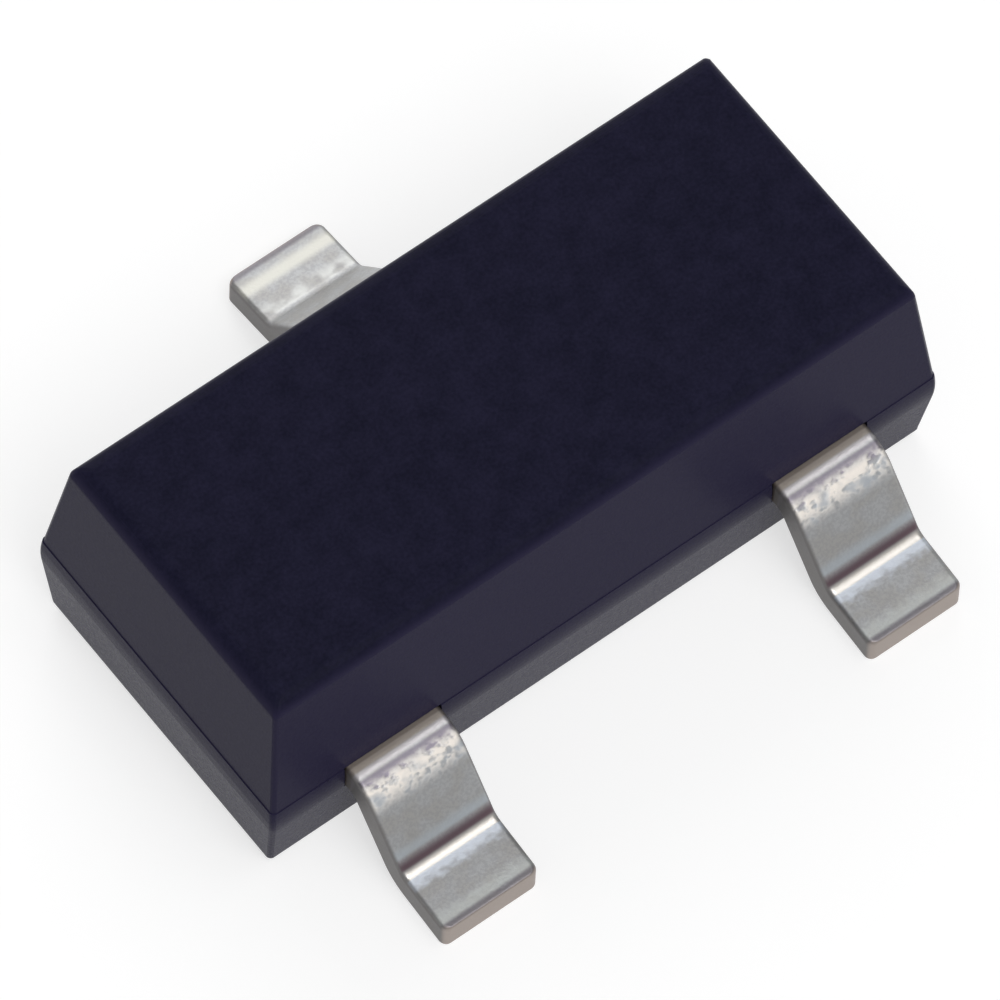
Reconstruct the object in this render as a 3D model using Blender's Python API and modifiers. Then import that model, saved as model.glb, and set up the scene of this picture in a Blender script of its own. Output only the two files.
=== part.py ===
"""Zener diode in a three-lead surface-mount package, at its real size: metres, +Z up.

A black moulded body stands on three gull-wing leads. Inside it the back lead ends in a paddle,
a thin bond layer holds the silicon die on that paddle, and a bond wire joins the top of the die
to the front left lead. X runs along the body, and the origin lies on the board under its middle.
"""

import math

import bmesh
import bpy
from mathutils import Matrix, Vector
from mathutils.geometry import interpolate_bezier

MM = 0.001

# Moulded body. The halves of the mould part level with the top of the lead frame. The wall leans
# outwards down to that line, turns over a soft ridge just below it, and leans back inwards. The
# lower half of the mould is a little larger, so a fine ledge runs round the parting line.
BODY_LENGTH = 2.967 * MM
BODY_WIDTH = 1.38 * MM
BODY_HEIGHT = 1.025 * MM
STANDOFF = 0.023 * MM                  # underside of the body above the board
PARTING_LEDGE = 0.003 * MM
RIDGE_HEIGHT = 0.14 * MM               # height of the soft ridge, from the parting line down
UPPER_END_DRAFT_ANGLE = math.radians(6.2)
UPPER_SIDE_DRAFT_ANGLE = math.radians(7.9)
LOWER_END_DRAFT_ANGLE = math.radians(4.6)
LOWER_SIDE_DRAFT_ANGLE = math.radians(7.5)
TOP_EDGE_ROUND = 0.072 * MM
CORNER_ROUND = 0.022 * MM
BOTTOM_EDGE_ROUND = 0.018 * MM

# Lead frame. One sheet is stamped into the three leads, and each is then bent to a gull wing.
SHEET_THICKNESS = 0.12 * MM
FRAME_RISE = 0.430 * MM                # top of the sheet above the underside of the body
LEAD_WIDTH = 0.42 * MM
LEAD_PITCH = 0.95 * MM                 # from the back lead to each front lead, along X
SHOULDER_LENGTH = 0.105 * MM           # from the side of the body to the corner of the shoulder
RISER_ANGLE = math.radians(51.8)       # slope of the riser from the board
FOOT_ANGLE = math.radians(8)           # slope of the foot, which stands on the end of its toe
FOOT_LENGTH = 0.245 * MM               # from the corner under the riser to the end of the toe
SHOULDER_BEND_RADIUS = 0.06 * MM       # inner radius
FOOT_BEND_RADIUS = 0.06 * MM           # inner radius
TOE_CORNER_ROUND = 0.032 * MM
STAMPED_EDGE_ROUND = 0.012 * MM
TOE_EDGE_LIFT = 0.15 * STAMPED_EDGE_ROUND    # how far that round lifts the lowest line of a toe
PAD_CORNER_ROUND = 0.03 * MM
NOTCH_DEPTH = 0.06 * MM                # notches that lock each lead in the moulding
NOTCH_LENGTH = 0.09 * MM

# Inner ends of the leads: a paddle behind, and a bond post in front on either side of it.
PADDLE_WIDTH = 0.84 * MM
PADDLE_LENGTH = 0.66 * MM
PADDLE_SETBACK = 0.33 * MM             # from the side of the body to the paddle
POST_GAP = 0.13 * MM                   # slot between the paddle and a post
POST_LENGTH = 0.50 * MM
POST_SETBACK = 0.29 * MM               # from the side of the body to the post
POST_OVERHANG = 0.08 * MM              # how far a post is wider than its lead, on the outer side

# Die, bond layer and bond wire.
DIE_SIZE = 0.36 * MM
DIE_THICKNESS = 0.14 * MM
BOND_LAYER_THICKNESS = 0.02 * MM
BOND_LAYER_MARGIN = 0.025 * MM         # how far the bond layer stands out round the die
WIRE_DIAMETER = 0.025 * MM
BALL_DIAMETER = 0.075 * MM
BALL_HEIGHT = 0.03 * MM
LOOP_HANDLE = 0.34 * MM                # how strongly the wire leaves the ball upwards
LANDING_HANDLE = 0.32 * MM             # how strongly it leans into its landing on the post
LANDING_ANGLE = math.radians(38)
STITCH_LENGTH = 0.08 * MM
STITCH_WIDTH = 0.045 * MM
STITCH_HEIGHT = 0.016 * MM
STITCH_INSET = 0.16 * MM               # stitch from the edge of the post that faces the paddle
STITCH_ADVANCE = 0.22 * MM             # stitch in front of the middle of the die

SEAT_GAP = 0.004 * MM                  # between pieces that touch in the real package
CUTTER_OVERRUN = 0.1 * MM              # how far a cutting shape runs past what it trims
ARC_STEP = math.radians(12)            # turn between two points of a bend or a round corner
BODY_EDGE_STEP = math.radians(7.5)     # the same for the rounded edges of the body
EDGE_ANGLE = math.radians(30)          # a sharper edge than this is an edge, and not part of a bend
WELD_DISTANCE = 0.00001 * MM
WIRE_POINTS = 22
RIDGE_STEPS = 6

FRAME_TOP = STANDOFF + FRAME_RISE
PARTING_HEIGHT = FRAME_TOP
BODY_TOP = STANDOFF + BODY_HEIGHT
TOE_TOP = SHEET_THICKNESS / math.cos(FOOT_ANGLE) - TOE_EDGE_LIFT
FOOT_TOP = TOE_TOP + FOOT_LENGTH * math.tan(FOOT_ANGLE)
SHOULDER_Y = BODY_WIDTH / 2 + SHOULDER_LENGTH
FOOT_Y = SHOULDER_Y + (FRAME_TOP - FOOT_TOP) / math.tan(RISER_ANGLE)
TOE_Y = FOOT_Y + FOOT_LENGTH
PADDLE_OUTER_Y = BODY_WIDTH / 2 - PADDLE_SETBACK
POST_OUTER_Y = BODY_WIDTH / 2 - POST_SETBACK
POST_REACH = LEAD_PITCH - PADDLE_WIDTH / 2 - POST_GAP
DIE_CENTRE_Y = PADDLE_OUTER_Y - PADDLE_LENGTH / 2
BOND_LAYER_BASE = FRAME_TOP + SEAT_GAP
DIE_BASE = BOND_LAYER_BASE + BOND_LAYER_THICKNESS + SEAT_GAP
DIE_TOP = DIE_BASE + DIE_THICKNESS

# Colours and finishes, as (red, green, blue), roughness and metallic.
FINISHES = {
    "moulding_compound": ((0.016, 0.015, 0.025), 0.55, 0.0),
    "matte_tin": ((0.46, 0.46, 0.43), 0.42, 0.9),
    "silicon": ((0.12, 0.13, 0.17), 0.25, 0.6),
    "silver_epoxy": ((0.50, 0.49, 0.45), 0.50, 0.5),
    "gold": ((0.83, 0.60, 0.22), 0.25, 1.0),
}


def new_collection(name):
    collection = bpy.data.collections.new(name)
    bpy.context.scene.collection.children.link(collection)
    return collection


def new_material(name, finish):
    color, roughness, metallic = FINISHES[finish]
    material = bpy.data.materials.new(name)
    material.use_nodes = True
    shader = material.node_tree.nodes["Principled BSDF"]
    shader.inputs["Base Color"].default_value = (*color, 1.0)
    shader.inputs["Roughness"].default_value = roughness
    shader.inputs["Metallic"].default_value = metallic
    material.diffuse_color = (*color, 1.0)
    return material


def finish_piece(piece, finish):
    """Gives a piece its own material, and smooth shading on its round parts only."""
    piece.data.materials.clear()
    piece.data.materials.append(new_material(piece.name + "_finish", finish))
    piece.data.shade_smooth()
    piece.data.set_sharp_from_angle(angle=EDGE_ANGLE)


def add_object(name, mesh, collection):
    item = bpy.data.objects.new(name, mesh)
    collection.objects.link(item)
    return item


def add_cutter(name, mesh):
    cutter = add_object(name, mesh, cutters)
    cutter.hide_render = True
    cutter.display_type = "WIRE"
    return cutter


def add_boolean(target, operation, tool):
    modifier = target.modifiers.new(tool.name, "BOOLEAN")
    modifier.operation = operation
    modifier.solver = "EXACT"
    modifier.use_self = True
    modifier.object = tool


def round_edges(target, width, segments):
    modifier = target.modifiers.new("edge_rounds", "BEVEL")
    modifier.limit_method = "ANGLE"
    modifier.angle_limit = EDGE_ANGLE
    modifier.width = width
    modifier.segments = segments
    modifier.harden_normals = True


def mesh_from(name, shape):
    mesh = bpy.data.meshes.new(name)
    shape.to_mesh(mesh)
    shape.free()
    return mesh


def mesh_from_curve(name, curve):
    """Makes a closed mesh of a curve: the caps are welded on and the curve is removed."""
    holder = add_object(name, curve, cutters)
    graph = bpy.context.evaluated_depsgraph_get()
    raw = bpy.data.meshes.new_from_object(holder.evaluated_get(graph))
    bpy.data.objects.remove(holder)
    shape = bmesh.new()
    shape.from_mesh(raw)
    bmesh.ops.remove_doubles(shape, verts=shape.verts, dist=WELD_DISTANCE)
    return mesh_from(name, shape)


def rounded_outline(corners):
    """Turns corners (x, y, radius) of a closed outline into its points, with arcs at the corners."""
    points = []
    for index, (x, y, radius) in enumerate(corners):
        corner = Vector((x, y))
        before = (Vector(corners[index - 1][:2]) - corner).normalized()
        after = (Vector(corners[(index + 1) % len(corners)][:2]) - corner).normalized()
        turn = math.pi - before.angle(after)
        if radius == 0 or turn < ARC_STEP / 2:
            points.append(corner)
            continue
        start = corner + before * radius * math.tan(turn / 2)
        middle = corner + (before + after).normalized() * radius / math.cos(turn / 2)
        side = 1 if before.cross(after) < 0 else -1
        steps = math.ceil(turn / ARC_STEP)
        for step in range(steps + 1):
            swing = Matrix.Rotation(side * turn * step / steps, 2)
            points.append(middle + swing @ (start - middle))
    return points


def mitre(before, after):
    """Step that moves a corner to the right of its two directions, for a distance of one."""
    normal_before = Vector((before.y, -before.x))
    normal_after = Vector((after.y, -after.x))
    return (normal_before + normal_after) / (1 + normal_before.dot(normal_after))


def grown_outline(points, distance):
    """Moves every side of a closed counter-clockwise outline outwards by the same distance."""
    grown = []
    for index, point in enumerate(points):
        before = (point - points[index - 1]).normalized()
        after = (points[(index + 1) % len(points)] - point).normalized()
        grown.append(point + mitre(before, after) * distance)
    return grown


def flat_plate(name, points, thickness):
    """Fills a closed outline in XY and gives it a thickness, half above and half below."""
    curve = bpy.data.curves.new(name, "CURVE")
    curve.dimensions = "2D"
    curve.fill_mode = "BOTH"
    curve.extrude = thickness / 2
    spline = curve.splines.new("POLY")
    spline.points.add(len(points) - 1)
    for target, point in zip(spline.points, points):
        target.co = (point.x, point.y, 0.0, 1.0)
    spline.use_cyclic_u = True
    return mesh_from_curve(name, curve)


def lead_plan(left, right, inner, outer):
    """Outline of a flat lead before bending: pad from inner to outer, notched neck, then the toe.

    The lead points along +Y, and the notches lie halfway between its pad and the body's side.
    """
    half = LEAD_WIDTH / 2
    waist = half - NOTCH_DEPTH
    notch_middle = (outer + BODY_WIDTH / 2) / 2
    notch_inner = notch_middle - NOTCH_LENGTH / 2
    notch_outer = notch_middle + NOTCH_LENGTH / 2
    return rounded_outline([
        (right, inner, PAD_CORNER_ROUND),
        (right, outer, PAD_CORNER_ROUND),
        (half, outer, 0),
        (half, notch_inner, 0),
        (waist, notch_inner, 0),
        (waist, notch_outer, 0),
        (half, notch_outer, 0),
        (half, TOE_Y, TOE_CORNER_ROUND),
        (-half, TOE_Y, TOE_CORNER_ROUND),
        (-half, notch_outer, 0),
        (-waist, notch_outer, 0),
        (-waist, notch_inner, 0),
        (-half, notch_inner, 0),
        (-half, outer, 0),
        (left, outer, PAD_CORNER_ROUND),
        (left, inner, PAD_CORNER_ROUND),
    ])


def lead_side_view(inner):
    """Side view of a bent lead in (y, z), from inside its pad to past its toe."""
    level = Vector((1, 0))
    riser = Vector((math.cos(RISER_ANGLE), -math.sin(RISER_ANGLE)))
    foot = Vector((math.cos(FOOT_ANGLE), -math.sin(FOOT_ANGLE)))
    start = Vector((inner - CUTTER_OVERRUN, FRAME_TOP))
    shoulder = Vector((SHOULDER_Y, FRAME_TOP))
    crease = Vector((FOOT_Y, FOOT_TOP))
    end = crease + foot * (FOOT_LENGTH + CUTTER_OVERRUN) / math.cos(FOOT_ANGLE)
    sheet = SHEET_THICKNESS
    return rounded_outline([
        (*(start + mitre(level, level) * sheet), 0),
        (*(shoulder + mitre(level, riser) * sheet), SHOULDER_BEND_RADIUS),
        (*(crease + mitre(riser, foot) * sheet), FOOT_BEND_RADIUS + sheet),
        (*(end + mitre(foot, foot) * sheet), 0),
        (*end, 0),
        (*crease, FOOT_BEND_RADIUS),
        (*shoulder, SHOULDER_BEND_RADIUS + sheet),
        (*start, 0),
    ])


def lead_meshes(name, pad, clearance):
    """Flat plan and bent side view of a lead as two thick plates, whose common part is the lead."""
    left, right, inner, outer = pad
    plan = grown_outline(lead_plan(*pad), clearance)
    side = grown_outline(lead_side_view(inner), clearance)
    plan_mesh = flat_plate(name + "_plan", plan, 2 * (FRAME_TOP + CUTTER_OVERRUN))
    side_mesh = flat_plate(name + "_side", side, 2 * (right - left + CUTTER_OVERRUN))
    stand_up = Matrix(((0, 0, 1), (1, 0, 0), (0, 1, 0))).to_4x4()
    side_mesh.transform(stand_up)
    return plan_mesh, side_mesh


def place_lead(item, x, faces_front):
    item.parent = origin
    item.location = (x, 0, 0)
    item.rotation_euler = (0, 0, math.pi if faces_front else 0)


def make_lead(name, pad, x=0.0, faces_front=False):
    """Makes one stamped and bent lead, and the wider one that clears its room in the body."""
    plan_mesh, side_mesh = lead_meshes(name, pad, 0)
    lead = add_object(name, plan_mesh, package)
    bend = add_cutter(name + "_bend", side_mesh)
    room_mesh, room_side_mesh = lead_meshes(name + "_room", pad, SEAT_GAP)
    room = add_cutter(name + "_room", room_mesh)
    room_bend = add_cutter(name + "_room_bend", room_side_mesh)
    for item in (lead, bend, room, room_bend):
        place_lead(item, x, faces_front)
    add_boolean(lead, "INTERSECT", bend)
    add_boolean(room, "INTERSECT", room_bend)
    round_edges(lead, STAMPED_EDGE_ROUND, 2)
    finish_piece(lead, "matte_tin")
    return room


def make_paddle_lead():
    half = PADDLE_WIDTH / 2
    pad = (-half, half, PADDLE_OUTER_Y - PADDLE_LENGTH, PADDLE_OUTER_Y)
    return make_lead("cathode_lead", pad)


def make_post_lead(name, side):
    """Makes a front lead. Side is -1 on the left and 1 on the right, seen from the front."""
    away = LEAD_WIDTH / 2 + POST_OVERHANG
    left, right = sorted((side * POST_REACH, -side * away))
    pad = (left, right, POST_OUTER_Y - POST_LENGTH, POST_OUTER_Y)
    return make_lead(name, pad, side * LEAD_PITCH, faces_front=True)


def block_mesh(name, width, base, top, clearance):
    """A square block that stands on the paddle, grown by a clearance on every side."""
    shape = bmesh.new()
    bmesh.ops.create_cube(shape, size=1.0)
    across = width + 2 * clearance
    tall = top - base + 2 * clearance
    bmesh.ops.scale(shape, vec=(across, across, tall), verts=shape.verts)
    bmesh.ops.translate(shape, vec=(0, 0, (base + top) / 2), verts=shape.verts)
    return mesh_from(name, shape)


def make_block(name, width, base, thickness, finish):
    """Makes the die or the bond layer, and the larger block that clears its room in the body."""
    piece = add_object(name, block_mesh(name, width, base, base + thickness, 0), package)
    room_mesh = block_mesh(name + "_room", width, base, base + thickness, SEAT_GAP)
    room = add_cutter(name + "_room", room_mesh)
    for item in (piece, room):
        item.parent = origin
        item.location = (0, DIE_CENTRE_Y, 0)
    finish_piece(piece, finish)
    return room


def wire_route():
    """Points of the bond wire: straight up from the ball, over, and down onto the left post."""
    start = Vector((0, DIE_CENTRE_Y, DIE_TOP + SEAT_GAP + BALL_HEIGHT / 2))
    end = Vector((
        -(PADDLE_WIDTH / 2 + POST_GAP + STITCH_INSET),
        DIE_CENTRE_Y - STITCH_ADVANCE,
        FRAME_TOP + SEAT_GAP + WIRE_DIAMETER / 2,
    ))
    back = start - end
    back.z = 0
    lean = back.normalized() * math.cos(LANDING_ANGLE) + Vector((0, 0, math.sin(LANDING_ANGLE)))
    rise = start + Vector((0, 0, LOOP_HANDLE))
    landing = end + lean * LANDING_HANDLE
    return interpolate_bezier(start, rise, landing, end, WIRE_POINTS)


def pressed_ball(name, centre, length, width, height, heading, clearance):
    """A ball squashed by the bonding tool, lying along a heading."""
    shape = bmesh.new()
    bmesh.ops.create_uvsphere(shape, u_segments=16, v_segments=8, radius=0.5)
    size = [measure + 2 * clearance for measure in (length, width, height)]
    bmesh.ops.scale(shape, vec=size, verts=shape.verts)
    place = Matrix.Translation(centre) @ Matrix.Rotation(heading, 4, "Z")
    bmesh.ops.transform(shape, matrix=place, verts=shape.verts)
    return mesh_from(name, shape)


def wire_mesh(name, route, clearance):
    curve = bpy.data.curves.new(name, "CURVE")
    curve.dimensions = "3D"
    curve.bevel_depth = WIRE_DIAMETER / 2 + clearance
    curve.bevel_resolution = 2
    curve.use_fill_caps = True
    spline = curve.splines.new("POLY")
    spline.points.add(len(route) - 1)
    for target, point in zip(spline.points, route):
        target.co = (*point, 1.0)
    return mesh_from_curve(name, curve)


def build_wire(name, add_wire, clearance):
    """Joins the wire with its ball on the die and its stitch on the post."""
    route = wire_route()
    run = route[-1] - route[0]
    heading = math.atan2(run.y, run.x)
    stitch_centre = Vector((route[-1].x, route[-1].y, FRAME_TOP + SEAT_GAP + STITCH_HEIGHT / 2))
    wire = add_wire(name, wire_mesh(name, route, clearance))
    ball_size = (BALL_DIAMETER, BALL_DIAMETER, BALL_HEIGHT)
    stitch_size = (STITCH_LENGTH, STITCH_WIDTH, STITCH_HEIGHT)
    ball_mesh = pressed_ball(name + "_ball", route[0], *ball_size, heading, clearance)
    stitch_mesh = pressed_ball(name + "_stitch", stitch_centre, *stitch_size, heading, clearance)
    ends = [add_cutter(mesh.name, mesh) for mesh in (ball_mesh, stitch_mesh)]
    for item in (wire, *ends):
        item.parent = origin
    for end in ends:
        add_boolean(wire, "UNION", end)
    return wire


def make_wire():
    wire = build_wire("bond_wire", lambda name, mesh: add_object(name, mesh, package), 0)
    room = build_wire("bond_wire_room", add_cutter, SEAT_GAP)
    finish_piece(wire, "gold")
    return room


def parting_reach(half_size, upper_draft, lower_draft):
    """Distance from the middle to the wall just under the parting line, above the ridge."""
    upper, lower = math.tan(upper_draft), math.tan(lower_draft)
    return half_size - RIDGE_HEIGHT * upper ** 2 / (2 * (upper + lower))


def upper_reach(height, half_size, upper_draft, lower_draft):
    """Distance from the middle to the wall at a height above the parting line."""
    start = parting_reach(half_size, upper_draft, lower_draft) - PARTING_LEDGE
    rise = min(height, BODY_TOP - TOP_EDGE_ROUND * (1 - math.sin(upper_draft))) - PARTING_HEIGHT
    wall = start - math.tan(upper_draft) * rise
    return wall - edge_retreat(BODY_TOP - height, upper_draft, TOP_EDGE_ROUND)


def lower_reach(height, half_size, upper_draft, lower_draft):
    """Distance from the middle to the wall at a height below the parting line."""
    upper, lower = math.tan(upper_draft), math.tan(lower_draft)
    lowest = STANDOFF + BOTTOM_EDGE_ROUND * (1 - math.sin(lower_draft))
    drop = PARTING_HEIGHT - max(height, lowest)
    ridge = min(drop, RIDGE_HEIGHT)
    turned = (upper + lower) * ridge ** 2 / (2 * RIDGE_HEIGHT)
    start = parting_reach(half_size, upper_draft, lower_draft)
    wall = start + upper * ridge - turned - lower * (drop - ridge)
    return wall - edge_retreat(height - STANDOFF, lower_draft, BOTTOM_EDGE_ROUND)


def edge_retreat(depth, draft, edge_round):
    """How far a rounded edge has turned in from its wall, at a depth from the face it leads to."""
    if depth >= edge_round * (1 - math.sin(draft)):
        return 0
    arc = math.sqrt(edge_round ** 2 - (edge_round - depth) ** 2)
    return edge_round * math.cos(draft) - arc


def body_levels():
    """Levels (height, half length, half width) of the body, from its underside to its top."""
    ends = (BODY_LENGTH / 2, UPPER_END_DRAFT_ANGLE, LOWER_END_DRAFT_ANGLE)
    sides = (BODY_WIDTH / 2, UPPER_SIDE_DRAFT_ANGLE, LOWER_SIDE_DRAFT_ANGLE)
    steps = math.ceil(math.pi / 2 / BODY_EDGE_STEP)
    dips = [1 - math.cos(math.pi / 2 * step / steps) for step in range(steps + 1)]
    lower = [STANDOFF + BOTTOM_EDGE_ROUND * dip for dip in dips]
    lower += [PARTING_HEIGHT - RIDGE_HEIGHT * (1 - step / RIDGE_STEPS)
              for step in range(RIDGE_STEPS + 1)]
    upper = [PARTING_HEIGHT] + [BODY_TOP - TOP_EDGE_ROUND * dip for dip in reversed(dips)]
    return [
        (height, reach(height, *ends), reach(height, *sides))
        for heights, reach in ((lower, lower_reach), (upper, upper_reach))
        for height in heights
    ]


def stacked_block(name, levels):
    """Skins a stack of rounded rectangles, each one a level, from the lowest to the highest."""
    shape = bmesh.new()
    rings = []
    for height, half_length, half_width in levels:
        outline = rounded_outline([
            (half_length, half_width, CORNER_ROUND),
            (-half_length, half_width, CORNER_ROUND),
            (-half_length, -half_width, CORNER_ROUND),
            (half_length, -half_width, CORNER_ROUND),
        ])
        rings.append([shape.verts.new((*point, height)) for point in outline])
    for low, high in zip(rings, rings[1:]):
        for index in range(len(low)):
            shape.faces.new((low[index - 1], low[index], high[index], high[index - 1]))
    shape.faces.new(rings[0][::-1])
    shape.faces.new(rings[-1])
    return mesh_from(name, shape)


def make_body(rooms):
    """Makes the moulding round everything that it holds: a drafted block less the rooms."""
    body = add_object("moulded_body", stacked_block("moulded_body", body_levels()), package)
    body.parent = origin
    for room in rooms:
        add_boolean(body, "DIFFERENCE", room)
    finish_piece(body, "moulding_compound")


for leftover in list(bpy.data.objects):
    bpy.data.objects.remove(leftover)

package = new_collection("zener_diode")
cutters = new_collection("cutters")
origin = add_object("package_origin", None, package)

rooms = [
    make_paddle_lead(),
    make_post_lead("anode_lead", -1),
    make_post_lead("unused_lead", 1),
    make_block("die_attach", DIE_SIZE + 2 * BOND_LAYER_MARGIN, BOND_LAYER_BASE,
               BOND_LAYER_THICKNESS, "silver_epoxy"),
    make_block("zener_die", DIE_SIZE, DIE_BASE, DIE_THICKNESS, "silicon"),
    make_wire(),
]
make_body(rooms)
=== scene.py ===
# %% [markdown]
# # A zener diode in a three-lead surface-mount package
#
# The part is 3 mm long: a black block of epoxy, moulded round a stamped lead frame, with three
# tin-plated leads bent down to the board. This file dresses the engineer's solids for a picture.
# It works in metres, at the real size, so every size below is a number of millimetres times MM.

# %% Load the solids
import math

import bmesh
import bpy
from mathutils import Euler, Matrix, Vector


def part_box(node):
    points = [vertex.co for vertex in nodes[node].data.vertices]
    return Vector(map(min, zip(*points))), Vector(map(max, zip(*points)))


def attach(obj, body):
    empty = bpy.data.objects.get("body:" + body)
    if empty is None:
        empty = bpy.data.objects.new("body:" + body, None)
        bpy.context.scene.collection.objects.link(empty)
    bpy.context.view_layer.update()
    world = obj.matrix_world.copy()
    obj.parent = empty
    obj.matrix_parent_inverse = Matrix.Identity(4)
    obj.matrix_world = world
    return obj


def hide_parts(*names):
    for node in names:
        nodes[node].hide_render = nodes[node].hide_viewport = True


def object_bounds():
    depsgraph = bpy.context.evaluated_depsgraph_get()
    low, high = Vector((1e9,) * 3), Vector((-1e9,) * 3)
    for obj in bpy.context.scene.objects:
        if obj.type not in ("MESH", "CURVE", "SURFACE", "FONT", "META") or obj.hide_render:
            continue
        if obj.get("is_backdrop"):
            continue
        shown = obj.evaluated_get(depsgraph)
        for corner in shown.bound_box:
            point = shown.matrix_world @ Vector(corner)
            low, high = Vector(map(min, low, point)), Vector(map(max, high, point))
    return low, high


MM = 0.001
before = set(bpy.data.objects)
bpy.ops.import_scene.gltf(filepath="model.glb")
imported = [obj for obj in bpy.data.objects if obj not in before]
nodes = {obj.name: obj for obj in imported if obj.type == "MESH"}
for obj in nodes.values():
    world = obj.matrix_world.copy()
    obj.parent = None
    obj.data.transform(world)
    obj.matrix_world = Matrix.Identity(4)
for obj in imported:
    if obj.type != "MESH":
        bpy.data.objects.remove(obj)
cad_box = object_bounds()
print("Loaded", len(nodes), "nodes:", ", ".join(sorted(nodes)))

# %% [markdown]
# ## Colours and nodes
#
# A paint chart or a colour picker gives sRGB values, but a shader adds and multiplies light, so it
# needs linear ones. One function turns the first into the second. A second function adds a node of
# any kind, sets it up and feeds its sockets, so the rest of the file can say what a tree does in
# one line for each node. Two more start a material, and put one on a solid. A few short names
# stand for the kinds of node that are used most.

# %% Helpers for colours and nodes
MATH = "ShaderNodeMath"
VECTOR_MATH = "ShaderNodeVectorMath"
RANGE = "ShaderNodeMapRange"
MIX = "ShaderNodeMix"
NOISE = "ShaderNodeTexNoise"
BUMP = "ShaderNodeBump"
SURFACE = "ShaderNodeBsdfPrincipled"
PLACE = "ShaderNodeTexCoord"
SPLIT = "ShaderNodeSeparateXYZ"
NOISE_LOW, NOISE_HIGH = 0.3, 0.7      # nearly all of a noise lies between these


def linear(code):
    """Turns an sRGB colour such as #c0ffee into linear red, green, blue and alpha."""
    parts = [int(code[start:start + 2], 16) / 255 for start in (1, 3, 5)]
    return (*(part / 12.92 if part <= 0.04045 else ((part + 0.055) / 1.055) ** 2.4
              for part in parts), 1.0)


def add_node(tree, kind, feeds=None, **settings):
    """Adds a node with its settings, and feeds its inputs.

    Feeds gives an input, by name or number, a value to hold, or a socket or node to be linked to.
    A node stands for the first output that its settings leave in use.
    """
    node = tree.nodes.new(kind)
    for name, value in settings.items():
        setattr(node, name, value)
    for key, value in (feeds or {}).items():
        in_use = [socket for socket in node.inputs if socket.enabled and socket.name == key]
        target = in_use[0] if in_use else node.inputs[key]
        if isinstance(value, bpy.types.Node):
            value = next(socket for socket in value.outputs if socket.enabled)
        if isinstance(value, bpy.types.NodeSocket):
            tree.links.new(value, target)
        else:
            target.default_value = value
    return node


def new_material(name):
    """Makes a material with an empty tree, and returns both."""
    material = bpy.data.materials.new(name)
    material.use_nodes = True
    material.node_tree.nodes.clear()
    return material, material.node_tree


def dress(name, material):
    """Gives one of the solids a finish, in place of the one that it came with."""
    finishes = nodes[name].data.materials
    finishes.clear()
    finishes.append(material)
    print(name, "wears", material.name)


print("A mid grey, #808080, is", round(linear("#808080")[0], 3), "in linear light")

# %% [markdown]
# ## Camera
#
# The photograph looks down on the part from its front left, from far away: the edges of the body
# stay almost parallel. So the lens is very long, and the camera stands 53 mm off a 3 mm part. The
# picture is also rolled a little. A part this small needs a near clipping distance to match.

# %% Camera
LENS, SENSOR = 543.8, 36              # focal length and width of the sensor, in mm
AIM = Vector((-0.0912, -0.1761, 0.5)) * MM
DISTANCE = 53.44 * MM
NEAR, FAR = 1 * MM, 1000 * MM         # clipping distances
AZIMUTH, ELEVATION, ROLL = (math.radians(angle) for angle in (-40.194, 61.913, 3.261))

back = Vector((math.sin(AZIMUTH) * math.cos(ELEVATION),
               -math.cos(AZIMUTH) * math.cos(ELEVATION), math.sin(ELEVATION)))
camera = bpy.data.objects.new("camera", bpy.data.cameras.new("camera"))
camera.data.lens = LENS
camera.data.sensor_width = SENSOR
camera.data.clip_start = NEAR
camera.data.clip_end = FAR
camera.matrix_world = (
    Matrix.Translation(AIM + back * DISTANCE)
    @ (-back).to_track_quat("-Z", "Y").to_matrix().to_4x4()
    @ Matrix.Rotation(ROLL, 4, "Z")
)
bpy.context.scene.collection.objects.link(camera)
bpy.context.scene.camera = camera
print("Camera stands at", [round(value / MM, 2) for value in camera.matrix_world.translation], "mm")

# %% [markdown]
# ## Floor and backdrop
#
# The part stands on a sheet of pale paper that sweeps up behind it, and in front the studio stays
# open. Polished things show their surroundings, so the sweep matters as much as any lamp: the back
# lead and the far edges of the body mirror it. Grey paper in full light plus a glow makes white.
# Light Path gives the glow to the camera, metal and glass only, so the paper looks white, keeps
# the part's shadow, and throws no more light on the part.

# %% Floor and backdrop
FLOOR_RADIUS = 90 * MM
SWEEP_RADIUS = 25 * MM                # of the curve that leads from the floor up to the wall
SWEEP_STEP = 10                       # degrees of that curve
WALL_HEIGHT = 42 * MM
RING_SIDES = 96
MERGE = 1 * MM                        # much less than a side of the floor
PAPER = "#b4b4b4"
FLOOR_GLOW = 0.64
WALL_GLOW = 0.85


def paper_material(name, glow):
    """Matt paper, with a glow that is seen directly and in mirrors, and lights nothing."""
    material, tree = new_material(name)
    path = add_node(tree, "ShaderNodeLightPath").outputs
    mirrored = add_node(tree, MATH, {
        0: path["Is Glossy Ray"], 1: path["Is Transmission Ray"]}, operation="MAXIMUM")
    seen = add_node(tree, MATH, {0: path["Is Camera Ray"], 1: mirrored}, operation="MAXIMUM")
    strength = add_node(tree, MATH, {0: seen, 1: glow}, operation="MULTIPLY")
    paper = add_node(tree, "ShaderNodeBsdfDiffuse", {"Color": linear(PAPER)})
    shine = add_node(tree, "ShaderNodeEmission", {"Strength": strength})
    both = add_node(tree, "ShaderNodeAddShader", {0: paper, 1: shine})
    add_node(tree, "ShaderNodeOutputMaterial", {"Surface": both})
    return material


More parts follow.
